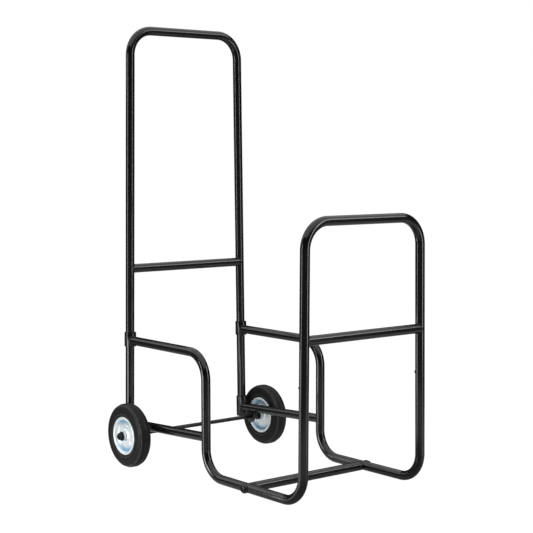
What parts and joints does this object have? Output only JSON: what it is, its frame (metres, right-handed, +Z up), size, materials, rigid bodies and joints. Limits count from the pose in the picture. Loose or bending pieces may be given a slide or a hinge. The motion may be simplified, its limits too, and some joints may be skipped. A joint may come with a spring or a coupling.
{
  "type": "log cart",
  "caption": "Fireside log cart: a tall tubular push handle on two wheels, with an open cradle of bent side tubes and a front arch that holds split logs.",
  "frame": {"origin": "on the floor, under the middle of the cart's bounding box", "axes": "+Z up, -Y towards the front arch, +Y towards the push handle, +X to the right seen from in front of the arch"},
  "size_m": [0.497, 0.7218, 1.0915],
  "materials": {
    "powder_coat": "semi-gloss black powder coat on steel tube",
    "black_hardware": "black zinc fasteners and axle",
    "wheel_zinc": "bright blue-passivated zinc on pressed steel",
    "tyre": "solid black rubber with ribs round the tread",
    "black_plastic": "moulded black nylon"
  },
  "bodies": {
    "chassis": {"axle": "black_hardware", "crossbar_bolt": "black_hardware", "crossbar_nut": "black_hardware", "floor_crossbar": "powder_coat", "front_crossbar": "powder_coat", "front_frame": "powder_coat", "handle_crossbar": "powder_coat", "handle_frame": "powder_coat", "left_axle_bracket": "powder_coat", "left_axle_spacer": "powder_coat", "left_axle_washer": "black_hardware", "left_crossbar_insert": "black_plastic", "left_front_screw": "black_hardware", "left_handle_plug": "black_plastic", "left_lock_nut": "black_hardware", "left_lower_side_tube": "powder_coat", "left_lower_sleeve": "powder_coat", "left_lower_sleeve_screw": "black_hardware", "left_saddle_washer": "black_plastic", "left_side_tube": "powder_coat", "left_upper_sleeve": "powder_coat", "left_upper_sleeve_screw": "black_hardware", "right_axle_bracket": "powder_coat", "right_axle_spacer": "powder_coat", "right_axle_washer": "black_hardware", "right_crossbar_insert": "black_plastic", "right_front_screw": "black_hardware", "right_handle_plug": "black_plastic", "right_lock_nut": "black_hardware", "right_lower_side_tube": "powder_coat", "right_lower_sleeve": "powder_coat", "right_lower_sleeve_screw": "black_hardware", "right_saddle_washer": "black_plastic", "right_side_tube": "powder_coat", "right_upper_sleeve": "powder_coat", "right_upper_sleeve_screw": "black_hardware"},
    "left_wheel": {"left_hub_tube": "wheel_zinc", "left_inner_bush": "black_plastic", "left_inner_rim": "wheel_zinc", "left_outer_bush": "black_plastic", "left_outer_rim": "wheel_zinc", "left_rivet_1": "wheel_zinc", "left_rivet_2": "wheel_zinc", "left_rivet_3": "wheel_zinc", "left_tyre": "tyre"},
    "right_wheel": {"right_hub_tube": "wheel_zinc", "right_inner_bush": "black_plastic", "right_inner_rim": "wheel_zinc", "right_outer_bush": "black_plastic", "right_outer_rim": "wheel_zinc", "right_rivet_1": "wheel_zinc", "right_rivet_2": "wheel_zinc", "right_rivet_3": "wheel_zinc", "right_tyre": "tyre"}
  },
  "joints": [
    {"name": "left_wheel_spin", "type": "hinge", "parent": "chassis", "child": "left_wheel", "pos_m": [-0.215, 0.28203, 0.0789], "axis": [1, 0, 0], "continuous": true},
    {"name": "right_wheel_spin", "type": "hinge", "parent": "chassis", "child": "right_wheel", "pos_m": [0.215, 0.28203, 0.0789], "axis": [1, 0, 0], "continuous": true}
  ]
}
